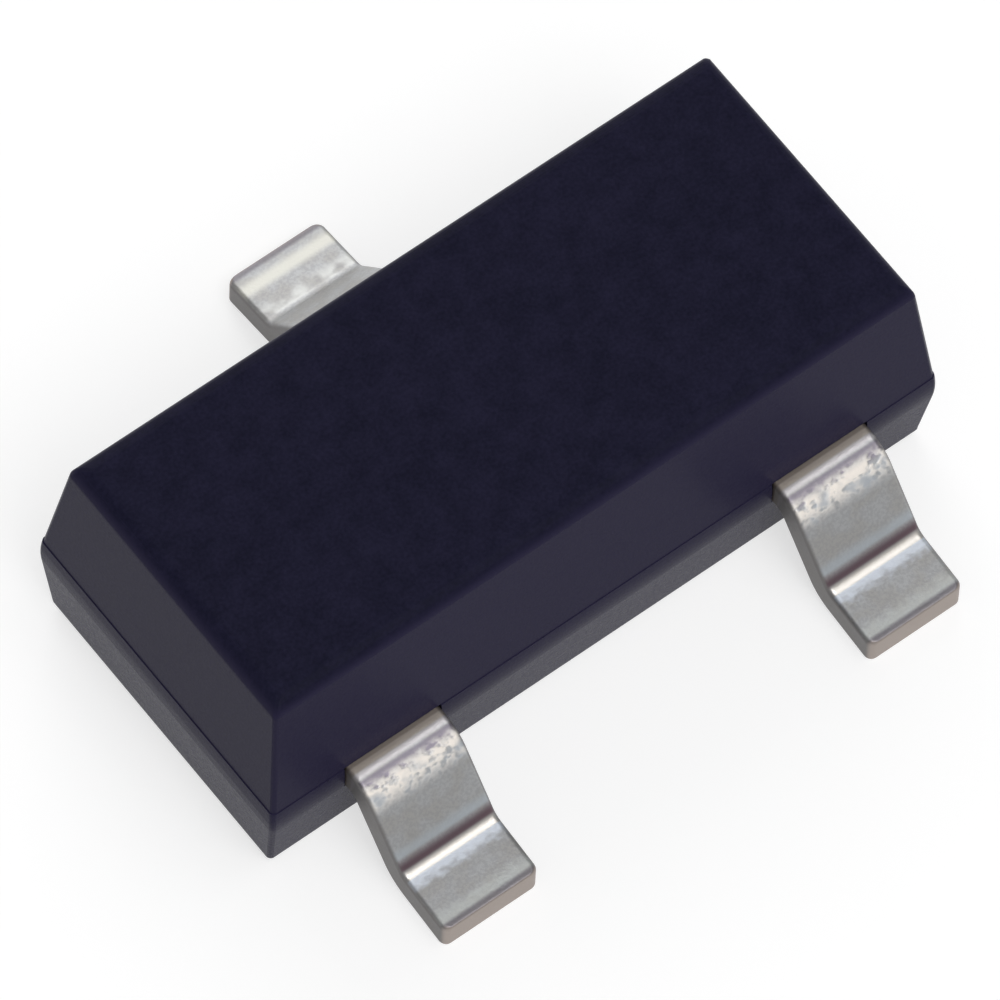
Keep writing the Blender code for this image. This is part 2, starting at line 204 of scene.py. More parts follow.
def turned_sheet(name, profile, turns, material):
    """Turns a profile of (radius, height) about the vertical axis. It faces up and inwards."""
    shape = bmesh.new()
    rings = [
        [shape.verts.new((radius * math.cos(turn), radius * math.sin(turn), height))
         for turn in turns]
        for radius, height in profile
    ]
    for inner, outer in zip(rings, rings[1:]):
        for side in range(len(turns) - 1):
            shape.faces.new((inner[side], outer[side], outer[side + 1], inner[side + 1]))
    # Merging closes the seam of a full turn, and makes one point of a ring in the middle.
    bmesh.ops.remove_doubles(shape, verts=shape.verts, dist=MERGE)
    mesh = bpy.data.meshes.new(name)
    shape.to_mesh(mesh)
    shape.free()
    mesh.shade_smooth()
    mesh.materials.append(material)
    sheet = bpy.data.objects.new(name, mesh)
    bpy.context.scene.collection.objects.link(sheet)
    sheet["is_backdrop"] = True


full_turn = [math.tau * side / RING_SIDES for side in range(RING_SIDES + 1)]
back_half = full_turn[:RING_SIDES // 2 + 1]
sweep = [(FLOOR_RADIUS + SWEEP_RADIUS * math.sin(angle), SWEEP_RADIUS * (1 - math.cos(angle)))
         for angle in (math.radians(step) for step in range(0, 90 + SWEEP_STEP, SWEEP_STEP))]
turned_sheet("floor", [(0, 0), (FLOOR_RADIUS, 0)], full_turn,
             paper_material("pale_paper_floor", FLOOR_GLOW))
turned_sheet("backdrop", sweep + [(FLOOR_RADIUS + SWEEP_RADIUS, WALL_HEIGHT)], back_half,
             paper_material("pale_paper_sweep", WALL_GLOW))
print("The sweep hides the lowest",
      round(math.degrees(math.atan(WALL_HEIGHT / (FLOOR_RADIUS + SWEEP_RADIUS)))),
      "degrees behind the part")

# %% [markdown]
# ## Light
#
# Three soft lamps and a dim sky. Bare metal looks like what it mirrors, so each lamp hangs where
# some part of the leads should mirror it. The main lamp is high in front: it glints in the inner
# bends of the front leads, and fills the shadows. The second hangs almost overhead, where the
# shoulders of the leads turn through its mirror image, which draws a bright line along each one.
# The third stands high behind, where the foot of the back lead mirrors it. The sky is paler near
# the horizon, which the steep parts of the front leads mirror, and darker above, so the flat top
# of the body looks black. A lamp's power follows from how bright it should look: brightness times
# pi times its area.

# %% Lamps and sky
HORIZON, ZENITH = 0.46, 0.26          # brightness of the sky
ZENITH_FROM = 0.9                     # it is darkest from here up, where straight up is 1
LAMPS = {
    # name: direction, distance in mm, width in mm, brightness
    "main_lamp": ((-0.05, -0.50, 0.86), 150, 95, 4.2),
    "overhead_lamp": ((0.30, -0.16, 0.94), 150, 50, 2.6),
    "back_lamp": ((0.30, 0.74, 0.60), 150, 110, 2.0),
}

world = bpy.data.worlds.new("dim_sky")
world.use_nodes = True
sky = world.node_tree
rise = add_node(sky, SPLIT, {0: add_node(sky, PLACE).outputs["Generated"]}).outputs["Z"]
paleness = add_node(sky, RANGE, {
    "Value": rise, "From Min": 0.0, "From Max": ZENITH_FROM, "To Min": HORIZON, "To Max": ZENITH})
background = sky.nodes["Background"]
background.inputs["Color"].default_value = (1, 1, 1, 1)
sky.links.new(paleness.outputs[0], background.inputs["Strength"])
bpy.context.scene.world = world

for name, (direction, distance, width, brightness) in LAMPS.items():
    light = bpy.data.lights.new(name, "AREA")
    light.shape = "DISK"
    light.size = width * MM
    area = math.pi * (light.size / 2) ** 2
    light.energy = brightness * math.pi * area
    lamp = bpy.data.objects.new(name, light)
    toward = Vector(direction).normalized()
    lamp.location = toward * distance * MM
    lamp.rotation_euler = toward.to_track_quat("Z", "Y").to_euler()
    bpy.context.scene.collection.objects.link(lamp)
    print(name, "gives", round(light.energy, 4), "W")
bpy.context.scene.view_settings.view_transform = "Standard"

# %% [markdown]
# ## Three leads out of one rule
#
# All three leads are the same bent strip: level where it leaves the body, down a steep riser, and
# out along a foot that leans 8 degrees, so the toe touches the board first. They differ only at
# their hidden inner ends. The sizes below say where the middle of the sheet turns, measured along
# the flat strip before it is bent.

# %% Sizes of the leads
SHEET = 0.12 * MM                     # thickness
FRAME_TOP = 0.453 * MM                # height of the upper skin, where the lead is level
BODY_SIDE = 0.69 * MM                 # side of the body from its middle
LEAD_WIDTH = 0.42 * MM
LEAD_PITCH = 0.95 * MM                # from the back lead to a front one, along the body
BEND_RADIUS = 0.12 * MM               # of the middle of the sheet, in both bends
RISER_ANGLE = math.radians(51.8)      # below level, and so is the foot's
FOOT_ANGLE = math.radians(8)
SHOULDER_Y = 0.795 * MM               # corner of the shoulder, on top of the sheet
CREASE = Vector((1.0304, 0.1538)) * MM     # corner above the foot, as distance out and height
TOE_Y = 1.2754 * MM                   # end of the toe, from the middle of the part
SHEET_MIDDLE = FRAME_TOP - SHEET / 2
FOOT_TURN = RISER_ANGLE - FOOT_ANGLE

shoulder = Vector((SHOULDER_Y - SHEET / 2 * math.tan(RISER_ANGLE / 2), SHEET_MIDDLE))
crease = CREASE - SHEET / 2 / (1 + math.cos(FOOT_TURN)) * Vector(
    (math.sin(RISER_ANGLE) + math.sin(FOOT_ANGLE), math.cos(RISER_ANGLE) + math.cos(FOOT_ANGLE)))
shoulder_trim = BEND_RADIUS * math.tan(RISER_ANGLE / 2)
foot_trim = BEND_RADIUS * math.tan(FOOT_TURN / 2)
SHOULDER_BEND = shoulder.x - shoulder_trim
RISER_START = SHOULDER_BEND + BEND_RADIUS * RISER_ANGLE
FOOT_BEND = RISER_START + (crease - shoulder).length - shoulder_trim - foot_trim
FOOT_START = FOOT_BEND + BEND_RADIUS * FOOT_TURN
BLANK_END = FOOT_START + (TOE_Y - crease.x) / math.cos(FOOT_ANGLE) - foot_trim
print("Along the flat strip, in mm: bend from", round(SHOULDER_BEND / MM, 3), "to",
      round(RISER_START / MM, 3), "and from", round(FOOT_BEND / MM, 3), "to",
      round(FOOT_START / MM, 3), "- toe at", round(BLANK_END / MM, 3))

# %% [markdown]
# ## The flat blank
#
# A press stamps the leads out of copper alloy sheet, and bends them only after the body has been
# moulded round their inner ends. The model goes the same way, so it starts flat. A blank is a row
# of rings, each one a section across the sheet. The punch rounds the long upper edges as it bites,
# and leaves the lower ones almost sharp. Rings crowd where the sheet will bend and round the toe,
# and close pairs of rings hold the shading flat wherever a bend ends. The toe is cut square to the
# board, so past the foot's bend the rings lean more and more, until they match the slant.

# %% Blanks
ROLLOVER = 0.020 * MM                 # radius of the long upper edges
BURR_EDGE = 0.006 * MM                # radius of the long lower edges
TOE_EDGE = 0.007 * MM                 # radius of the toe's upper and lower edges
TOE_CORNER = 0.032 * MM               # radius of the toe's corners, seen from above
PAD_CORNER = 0.03 * MM                # radius of the inner end's corners
NOTCH_DEPTH = 0.06 * MM
NOTCH_LENGTH = 0.09 * MM
HOLD = 0.004 * MM                     # distance of a holding ring or point from its edge
BEND_RINGS = 14                       # steps of rings along a bend
CORNER_STEPS = 5
TOE_STEPS = 9

# Inner ends, as left, right, inner and outer edge, with the lead pointing along +Y.
PADS = {
    "cathode": [edge * MM for edge in (-0.42, 0.42, -0.30, 0.36)],
    "anode": [edge * MM for edge in (-0.40, 0.29, -0.10, 0.40)],
    "unused": [edge * MM for edge in (-0.29, 0.40, -0.10, 0.40)],
}


def quarter_turn(steps):
    """Angles from nothing to a right angle, in even steps."""
    return [math.pi / 2 * step / steps for step in range(steps + 1)]


def blank_rows(left, right, inner, outer):
    """Rows (distance along, left, right) of a lead: pad, notched neck, bends and toe."""
    half, waist = LEAD_WIDTH / 2, LEAD_WIDTH / 2 - NOTCH_DEPTH
    notch = (outer + BODY_SIDE - NOTCH_LENGTH) / 2
    ends = [(PAD_CORNER * (1 - math.cos(turn)), PAD_CORNER * (1 - math.sin(turn)))
            for turn in quarter_turn(CORNER_STEPS)]
    rows = [(inner + step, left + inset, right - inset) for step, inset in ends]
    rows += [(outer - step, left + inset, right - inset) for step, inset in ends[::-1]]
    rows += [(outer, -half, half), (notch, -half, half), (notch, -waist, waist),
             (notch + NOTCH_LENGTH, -waist, waist), (notch + NOTCH_LENGTH, -half, half)]
    for start, end in ((SHOULDER_BEND, RISER_START), (FOOT_BEND, FOOT_START)):
        bend = [start + (end - start) * ring / BEND_RINGS for ring in range(BEND_RINGS + 1)]
        rows += [(along, -half, half) for along in (start - HOLD, *bend, end + HOLD)]
    rows.append((BLANK_END - TOE_CORNER - HOLD, -half, half))
    for turn in quarter_turn(TOE_STEPS):
        inset = TOE_CORNER * (1 - math.cos(turn))
        rows.append((BLANK_END - TOE_CORNER * (1 - math.sin(turn)), inset - half, half - inset))
    return rows


def edge_drop(along, radius):
    """How far an edge rounded to a radius has dropped, this near to the end of the toe."""
    depth = min(BLANK_END - along, radius)
    return radius - math.sqrt(max(radius ** 2 - (radius - depth) ** 2, 0))


def toe_lean(along):
    """How much a ring leans back: nothing up to the foot, and the slant of the cut at the toe."""
    start, end = FOOT_START + HOLD, BLANK_END - TOE_CORNER - HOLD
    share = min(max((along - start) / (end - start), 0), 1)
    return share * math.tan(FOOT_ANGLE)


def section(along, left, right):
    """Ring of points round the sheet, from the lower left corner round to the upper left one."""
    low = SHEET_MIDDLE - SHEET / 2 + edge_drop(along, TOE_EDGE)
    high = SHEET_MIDDLE + SHEET / 2 - edge_drop(along, TOE_EDGE)
    # A corner has its place, its radius and the direction in which its arc begins.
    corners = [(left, low, BURR_EDGE, math.pi), (right, low, BURR_EDGE, 1.5 * math.pi),
               (right, high, ROLLOVER, 0), (left, high, ROLLOVER, math.pi / 2)]
    points = []
    for x, z, radius, first in corners:
        inward_x = math.copysign(radius, (left + right) / 2 - x)
        inward_z = math.copysign(radius, (low + high) / 2 - z)
        middle = Vector((x + inward_x, z + inward_z))
        arc = [middle + radius * Vector((math.cos(first + turn), math.sin(first + turn)))
               for turn in quarter_turn(CORNER_STEPS)]
        arrive = Vector((math.sin(first), -math.cos(first))) * HOLD
        leave = Vector((-math.cos(first), -math.sin(first))) * HOLD
        points += [arc[0] + arrive, *arc, arc[-1] + leave]
    lean = toe_lean(along)
    return [(point.x, along - (point.y - SHEET_MIDDLE) * lean, point.y) for point in points]


def flat_blank(name, pad):
    """Skins the rings of a lead and closes both ends."""
    shape = bmesh.new()
    rings = [[shape.verts.new(point) for point in section(*row)] for row in blank_rows(*pad)]
    for near, far in zip(rings, rings[1:]):
        for index in range(len(near)):
            shape.faces.new((near[index - 1], near[index], far[index], far[index - 1]))
    shape.faces.new(rings[0])
    shape.faces.new(rings[-1][::-1])
    bmesh.ops.recalc_face_normals(shape, faces=shape.faces)
    mesh = bpy.data.meshes.new(name)
    shape.to_mesh(mesh)
    shape.free()
    return mesh


blanks = {name: flat_blank(name + "_blank", pad) for name, pad in PADS.items()}
print({name: len(mesh.polygons) for name, mesh in blanks.items()}, "faces")

# %% [markdown]
# ## The bending tool
#
# Bending a sheet keeps the length of its middle: what lay along a line now lies along an arc, and
# all that comes after turns with it. That is one rule, so it is one Geometry Nodes group, used for
# every bend. The sums stand in a table, a row for each Math node, because they read better there
# than as a web of nodes. A positive angle bends down, and a negative one up.

# %% A node group that bends a sheet
BEND_SUMS = [
    ("way", "SIGN", "angle"),
    ("turn", "ABSOLUTE", "angle"),
    ("beyond", "SUBTRACT", "y", "start"),
    ("before", "MINIMUM", "beyond", 0.0),
    ("wanted", "DIVIDE", "beyond", "radius"),
    ("part", "MAXIMUM", "wanted", 0.0),
    ("turned", "MINIMUM", "part", "turn"),
    ("heading", "MULTIPLY", "turned", "way"),
    ("arc", "MULTIPLY", "turn", "radius"),
    ("past", "SUBTRACT", "beyond", "arc"),
    ("straight", "MAXIMUM", "past", 0.0),
    ("pivot", "MULTIPLY", "radius", "way"),
    ("level", "SUBTRACT", "z", "height"),
    ("reach", "ADD", "pivot", "level"),
    ("sine", "SINE", "heading"),
    ("cosine", "COSINE", "heading"),
    ("arc out", "MULTIPLY", "reach", "sine"),
    ("run out", "MULTIPLY", "straight", "cosine"),
    ("near side", "ADD", "start", "before"),
    ("far side", "ADD", "arc out", "run out"),
    ("new y", "ADD", "near side", "far side"),
    ("arc up", "MULTIPLY", "reach", "cosine"),
    ("run down", "MULTIPLY", "straight", "sine"),
    ("base", "SUBTRACT", "height", "pivot"),
    ("top", "ADD", "base", "arc up"),
    ("new z", "SUBTRACT", "top", "run down"),
]


def new_tree(name, inputs):
    """Makes a Geometry Nodes tree with a geometry input and output, and the named inputs."""
    tree = bpy.data.node_groups.new(name, "GeometryNodeTree")
    tree.interface.new_socket("Geometry", in_out="OUTPUT", socket_type="NodeSocketGeometry")
    tree.interface.new_socket("Geometry", in_out="INPUT", socket_type="NodeSocketGeometry")
    for label, kind in inputs:
        tree.interface.new_socket(label, in_out="INPUT", socket_type="NodeSocket" + kind)
    return tree, add_node(tree, "NodeGroupInput").outputs


bend_tree, given = new_tree("bend_sheet", [
    ("Start", "Float"), ("Radius", "Float"), ("Angle", "Float"), ("Height", "Float")])
place = add_node(bend_tree, SPLIT, {0: add_node(bend_tree, "GeometryNodeInputPosition")}).outputs
sums = {"y": place["Y"], "z": place["Z"], "start": given["Start"], "radius": given["Radius"],
        "angle": given["Angle"], "height": given["Height"]}
for label, operation, *terms in BEND_SUMS:
    feeds = {slot: sums.get(term, term) for slot, term in enumerate(terms)}
    sums[label] = add_node(bend_tree, MATH, feeds, operation=operation, label=label)
bent = add_node(bend_tree, "ShaderNodeCombineXYZ", {
    "X": place["X"], "Y": sums["new y"], "Z": sums["new z"]})
moved = add_node(bend_tree, "GeometryNodeSetPosition", {
    "Geometry": given["Geometry"], "Position": bent})
add_node(bend_tree, "NodeGroupOutput", {0: moved})
print("bend_sheet has", len(bend_tree.nodes), "nodes")

# %% [markdown]
# ## The forming line
#
# A second tree is the press line: it notes where each point lies on the flat blank, bends the foot
# up, bends the whole lead down at the shoulder, and turns it to its side of the body. The note
# becomes the attribute "blank", which the tin finish reads later, since plating cracks, shines and
# stains by its place on the strip. The foot goes first, while it still lies flat.

# %% A tree that forms a lead
form_tree, given = new_tree("form_lead", [
    ("Sheet middle", "Float"), ("Bend radius", "Float"), ("Shoulder bend", "Float"),
    ("Riser angle", "Float"), ("Foot bend", "Float"), ("Foot turn", "Float"),
    ("Offset", "Vector"), ("Facing", "Rotation"), ("Finish", "Material")])
noted = add_node(form_tree, "GeometryNodeStoreNamedAttribute", {
    "Geometry": given["Geometry"], "Name": "blank",
    "Value": add_node(form_tree, "GeometryNodeInputPosition"),
}, data_type="FLOAT_VECTOR", domain="POINT")
upward = add_node(form_tree, MATH, {0: given["Foot turn"], 1: -1.0}, operation="MULTIPLY")
strip = noted
for start, angle in (("Foot bend", upward), ("Shoulder bend", given["Riser angle"])):
    strip = add_node(form_tree, "GeometryNodeGroup", {
        "Geometry": strip, "Start": given[start], "Angle": angle,
        "Radius": given["Bend radius"], "Height": given["Sheet middle"]}, node_tree=bend_tree)
placed = add_node(form_tree, "GeometryNodeTransform", {
    "Geometry": strip, "Translation": given["Offset"], "Rotation": given["Facing"]})
real = add_node(form_tree, "GeometryNodeRealizeInstances", {0: placed})
coated = add_node(form_tree, "GeometryNodeSetMaterial", {
    "Geometry": real, "Material": given["Finish"]})
add_node(form_tree, "NodeGroupOutput", {0: coated})
inputs_of_form = [item.name for item in form_tree.interface.items_tree if item.in_out == "INPUT"]
print("form_lead takes", ", ".join(inputs_of_form))

# %% [markdown]
# ## Matt tin plating: what is measured
#
# The leads are copper alloy with matt tin plated on: a pale grey metal of tiny crystals, which
# spreads a reflection wide. Making and handling leave marks on it, and painted highlights and
# painted shade lie on it as marks too, each with its place on the strip. So the finish starts from
# a few measures: how far along the blank a point lies, how near it is to the cut sides and to the
# cut end, whether it is on the upper skin and at the front, and three noises. The ragged measure is
# the distance along, pushed to and fro by a noise.

# %% Measures on a lead
CRYSTAL = 0.011 * MM                  # real crystals are 0.005 mm, too fine to show at this size
CLOUD = Vector((0.085, 0.060, 0.085)) * MM      # size of a patch in the plating
FLAKE = Vector((0.034, 0.022, 0.034)) * MM      # size of a flake where the plating has crazed
SOFT = 1.5                            # detail of patches and flakes, low for soft edges
RAGGED = 0.012 * MM                   # how far a ragged edge strays to either side

tin, tree = new_material("matt_tin_plating")
blank = add_node(tree, "ShaderNodeAttribute", attribute_name="blank").outputs["Vector"]
across, along, level = add_node(tree, SPLIT, {0: blank}).outputs
on_object = add_node(tree, PLACE).outputs["Object"]
northing = add_node(tree, SPLIT, {0: on_object}).outputs["Y"]
crystals = add_node(tree, NOISE, {"Vector": on_object, "Scale": 1 / CRYSTAL, "Detail": 2.0})
clouds, flakes = (
    add_node(tree, NOISE, {"Scale": 1.0, "Detail": SOFT, "Vector": add_node(tree, VECTOR_MATH, {
        0: on_object, 1: [1 / width for width in size]}, operation="MULTIPLY")})
    for size in (CLOUD, FLAKE)
)
push = add_node(tree, RANGE, {
    "Value": flakes, "From Min": NOISE_LOW, "From Max": NOISE_HIGH,
    "To Min": -RAGGED, "To Max": RAGGED})
slope = math.tan(FOOT_ANGLE)
slant = add_node(tree, MATH, {
    0: level, 1: slope, 2: -SHEET_MIDDLE * slope}, operation="MULTIPLY_ADD")
MEASURES = {
    # name: measure, and the unit that the table of marks gives it in
    "along": (along, MM),
    "ragged": (add_node(tree, MATH, {0: along, 1: push}, operation="ADD"), MM),
    "to end": (add_node(tree, MATH, {0: along, 1: slant}, operation="ADD"), MM),
    "level": (level, MM),
    "aside": (add_node(tree, MATH, {0: across}, operation="ABSOLUTE"), MM),
    "front": (add_node(tree, MATH, {0: northing, 1: -1.0}, operation="MULTIPLY"), MM),
    "clouds": (clouds, 1),
    "flakes": (flakes, 1),
    "crystals": (crystals, 1),
}
print("The finish measures", ", ".join(MEASURES))

# %% [markdown]
# ## Matt tin plating: where the marks are
#
# Each mark is a product of soft steps, each one from where the mark is absent to where it is full,
# counted in millimetres from a bend, an end or a side. The level strip by the body is tarnished,
# and a painted shadow darkens it where it leaves the body. At the shoulder the plating turns
# smoother, with a painted highlight on it as a bright line and a line of painted shade below it,
# and then crazes into frosted flakes that fray out down the riser. In the inner bend of each front
# lead lies a dark line of painted shade, and next to it a painted highlight on smoother tin, which
# fades down the foot as a painted sheen. The back lead has painted highlights instead, in its bend
# and near its toe, and every toe has a line of painted shade along its upper edge.

# %% Places of the marks
bend, riser, fold, foot, end = (
    value / MM for value in (SHOULDER_BEND, RISER_START, FOOT_BEND, FOOT_START, BLANK_END))
top, side = FRAME_TOP / MM, LEAD_WIDTH / 2 / MM
UPPER_SKIN = ("level", top - 0.012, top - 0.003)
FRONT, BACK = ("front", -0.5, 0.5), ("front", 0.5, -0.5)    # only the leads on that side
MARKS = {
    # name: steps, each with its measure, where the mark is absent and where it is full
    "cloud": [("clouds", 0.35, 0.65)],
    "crystal": [("crystals", 0.38, 0.62)],
    "tarnished": [("along", bend + 0.018, bend + 0.004)],
    # painted highlight: a paler colour on the shoulder's glint, over smoother tin
    "stretched_glint": [("along", bend + 0.006, bend + 0.014), ("along", bend + 0.032, bend + 0.018)],
    "shaded": [UPPER_SKIN, ("along", bend + 0.026, bend + 0.036),
               ("ragged", bend + 0.068, bend + 0.044)],
    "crazed": [UPPER_SKIN, ("along", bend + 0.050, bend + 0.090),
               ("ragged", riser + 0.050, riser - 0.010), ("clouds", 0.62, 0.38)],
    "frosted": [UPPER_SKIN, ("along", bend + 0.034, bend + 0.068),
                ("ragged", riser + 0.042, riser - 0.030), ("clouds", 0.28, 0.52),
                ("flakes", 0.30, 0.56)],
    "smeared": [FRONT, UPPER_SKIN, ("along", fold - 0.100, fold - 0.060),
                ("along", fold - 0.034, fold - 0.052)],
    # painted shade: a dark line in the inner bend of the front leads
    "crease_shade": [FRONT, UPPER_SKIN, ("along", fold - 0.054, fold - 0.010),
              ("along", fold + 0.036, fold - 0.006)],
    # painted highlight next to the inner bend, over smoother tin
    "rubbed_glint": [FRONT, UPPER_SKIN, ("along", fold - 0.004, fold + 0.040),
               ("ragged", foot + 0.036, foot + 0.002), ("aside", side - 0.002, side - 0.024)],
    # painted sheen, fading down the foot from the inner bend's glint
    "brushed_sheen": [FRONT, UPPER_SKIN, ("along", foot - 0.012, foot + 0.002),
                ("ragged", foot + 0.062, foot + 0.006)],
    # painted highlight in the back lead's inner bend
    "back_bend_highlight": [BACK, UPPER_SKIN, ("along", foot - 0.036, foot),
             ("along", foot + 0.070, foot + 0.012), ("clouds", 0.32, 0.58)],
    "streak": [FRONT, UPPER_SKIN, ("ragged", end - 0.100, end - 0.056),
               ("along", end - 0.026, end - 0.044)],
    # painted highlight near the back lead's toe
    "back_toe_highlight": [BACK, UPPER_SKIN, ("along", end - 0.138, end - 0.102),
             ("along", end - 0.046, end - 0.088)],
    # painted shade along the toe's upper edge
    "toe_edge_shade": [UPPER_SKIN, ("to end", end - 0.036, end - 0.016)],
    # cut sides of the strip, greyer, and partly painted shade on the side faces
    "sheared_and_shaded": [("aside", side - 0.016, side - 0.001)],
    "cut": [("to end", end - 0.030, end - 0.006), ("level", top + 0.001, top - 0.003)],
    # painted shadow where the lead leaves the body
    "exit_shadow": [("along", BODY_SIDE / MM + 0.012, BODY_SIDE / MM + 0.002)],
}


def place_mark(steps):
    """Multiplies the soft steps of a mark, and returns how much of it there is at a point."""
    amount = 1.0
    for measure, none, full in steps:
        socket, unit = MEASURES[measure]
        step = add_node(tree, RANGE, {"Value": socket, "From Min": none * unit,
                                      "From Max": full * unit}, interpolation_type="SMOOTHSTEP")
        amount = add_node(tree, MATH, {0: amount, 1: step}, operation="MULTIPLY")
    return amount


amounts = {mark: place_mark(steps) for mark, steps in MARKS.items()}
print(len(amounts), "marks on the tin:", ", ".join(amounts))

# %% [markdown]
# ## Matt tin plating: what the marks look like
#
# The marks are laid over the plain plating one after another, each with a colour, a roughness and
# a share of full strength. Tin is a metal, so its colour is the colour of what it mirrors. Smooth
# marks mirror a lamp as a sharp glint, and their paler colours add a painted highlight; the dark
# lines at the shoulder, in the inner bends and along the toes are painted shade, and the one by the
# body is a painted shadow. The frosted flakes are so rough that they look white from every side.
# The cut sides are greyer, partly as painted shade, and the cut end lets the copper show through.
# Last come two bumps: the crystals all over, and the flakes where the plating is frosted.

# %% Colours and roughness of the marks
CRYSTAL_RELIEF = 0.0010 * MM
FLAKE_RELIEF = 0.006 * MM
LAYERS = [
    # mark, share, colour, roughness
    ("cloud", 0.6, "#bcbfc2", 0.44),
    ("crystal", 0.4, "#a09fa3", 0.50),
    ("tarnished", 0.8, "#d4c8ba", 0.45),
    ("crazed", 0.6, "#cbd3dc", 0.65),
    ("shaded", 0.85, "#7e7784", 0.45),
    ("frosted", 1.0, "#fffaf4", 0.75),
    # painted highlight on the shoulder, over smoother tin that glints
    ("stretched_glint", 0.9, "#e8e4e6", 0.32),
    ("smeared", 0.6, "#c2cbd2", 0.46),
    # painted highlight in the back lead's inner bend
    ("back_bend_highlight", 0.8, "#d6d7d4", 0.44),
    ("streak", 0.4, "#dbe0dc", 0.46),
    # painted highlight near the back lead's toe
    ("back_toe_highlight", 0.9, "#d6d5cd", 0.44),
    # painted shade in the inner bend of the front leads
    ("crease_shade", 0.95, "#705c64", 0.42),
    # painted highlight next to the inner bend, over smoother tin
    ("rubbed_glint", 0.9, "#dcd7d0", 0.36),
    # painted sheen fading down the front feet
    ("brushed_sheen", 0.85, "#e6eefa", 0.42),
    # painted shade along the toe's upper edge
    ("toe_edge_shade", 0.7, "#69646f", 0.45),
    # cut sides, greyer, partly as painted shade
    ("sheared_and_shaded", 0.85, "#666362", 0.50),
    ("cut", 0.9, "#a89d96", 0.55),
    # painted shadow where the lead leaves the body
    ("exit_shadow", 0.5, "#4c3a34", 0.60),
]
colour, roughness = linear("#b3b2b0"), 0.46     # of the plain plating
for mark, share, code, rough in LAYERS:
    amount = add_node(tree, MATH, {0: amounts[mark], 1: share}, operation="MULTIPLY")
    colour = add_node(tree, MIX, {"Factor": amount, "A": colour, "B": linear(code)},
                      data_type="RGBA")
    roughness = add_node(tree, MIX, {"Factor": amount, "A": roughness, "B": rough})
grain = add_node(tree, BUMP, {"Height": crystals, "Distance": CRYSTAL_RELIEF, "Strength": 0.5})
rough_height = add_node(tree, MATH, {0: flakes, 1: amounts["frosted"]}, operation="MULTIPLY")
crazing = add_node(tree, BUMP, {
    "Height": rough_height, "Distance": FLAKE_RELIEF, "Strength": 0.6, "Normal": grain})
metal = add_node(tree, SURFACE, {
    "Base Color": colour, "Roughness": roughness, "Metallic": 1.0, "Normal": crazing})
add_node(tree, "ShaderNodeOutputMaterial", {"Surface": metal})
print(tin.name, "has", len(tree.nodes), "nodes")

# %% [markdown]
# ## Forming the leads
#
# Each blank gets the forming tree as a modifier, with its own side of the body. The result is then
# copied into a plain mesh, and the modifier goes, so the finished lead is only its own triangles.

# %% Leads
SHARP_ANGLE = math.radians(40)        # edges that turn more than this are shaded as sharp
FORMING = {
    "Sheet middle": SHEET_MIDDLE, "Bend radius": BEND_RADIUS, "Shoulder bend": SHOULDER_BEND,
    "Riser angle": RISER_ANGLE, "Foot bend": FOOT_BEND, "Foot turn": FOOT_TURN, "Finish": tin,
}
SIDES = {
    # name: offset of the lead, and its turn about the vertical axis
    "cathode": ((0, 0, 0), 0),
    "anode": ((-LEAD_PITCH, 0, 0), math.pi),
    "unused": ((LEAD_PITCH, 0, 0), math.pi),
}


def formed_lead(name, offset, turn):
    """Puts a blank through the forming tree, and returns the lead as plain triangles."""
    flat = bpy.data.objects.new(name + "_blank", blanks[name])
    bpy.context.scene.collection.objects.link(flat)
    press = flat.modifiers.new("press", "NODES")
    press.node_group = form_tree
    settings = {**FORMING, "Offset": offset, "Facing": Euler((0, 0, turn))}
    for item in form_tree.interface.items_tree:
        if item.in_out == "INPUT" and item.name in settings:
            press[item.identifier] = settings[item.name]
    graph = bpy.context.evaluated_depsgraph_get()
    mesh = bpy.data.meshes.new_from_object(flat.evaluated_get(graph))
    bpy.data.objects.remove(flat)
    mesh.shade_smooth()
    mesh.set_sharp_from_angle(angle=SHARP_ANGLE)
    lead = bpy.data.objects.new(name + "_lead_plated", mesh)
    bpy.context.scene.collection.objects.link(lead)
    return lead


for name, (offset, turn) in SIDES.items():
    lead = formed_lead(name, offset, turn)
    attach(lead, "root")
    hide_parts(name + "_lead")
    low, high = (Vector(corner) for corner in (lead.bound_box[0], lead.bound_box[6]))
    print(lead.name, "measures", [round(size / MM, 3) for size in high - low], "mm, lowest at",
          round(low.z / MM, 4))

# %% [markdown]
# ## Black epoxy moulding compound
#
# The body is epoxy full of fine glass powder and black pigment, pressed into a steel mould. The
# steel's spark-eroded grain comes out on it as a fine mottle on the top. The sides slide out of
# the mould, so they are smoother, and mirror the paper dimly. Their colour is painted paler and
# bluer than the top's, as painted light on the walls. The shape comes from the solids, with the
# rounded edges and the fine ledge at the parting line, so only the finish is added here: a
# blue-black colour, and a gloss that is weaker than plastic's.

# %% Moulding compound
GRAIN = 0.014 * MM                    # width of the mould's grain
GRAIN_RELIEF = 0.0008 * MM
MOTTLE = 0.09 * MM                    # width of the paler patches
GLOSS = 0.035                         # where 0.5 is a plain plastic's
TOP_ROUGHER = 0.16                    # how much rougher the top is than the sides
BODY_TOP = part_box("moulded_body")[1].z
TOP_FROM, TOP_FULL = BODY_TOP - 0.05 * MM, BODY_TOP - 0.005 * MM    # over the rounded edge

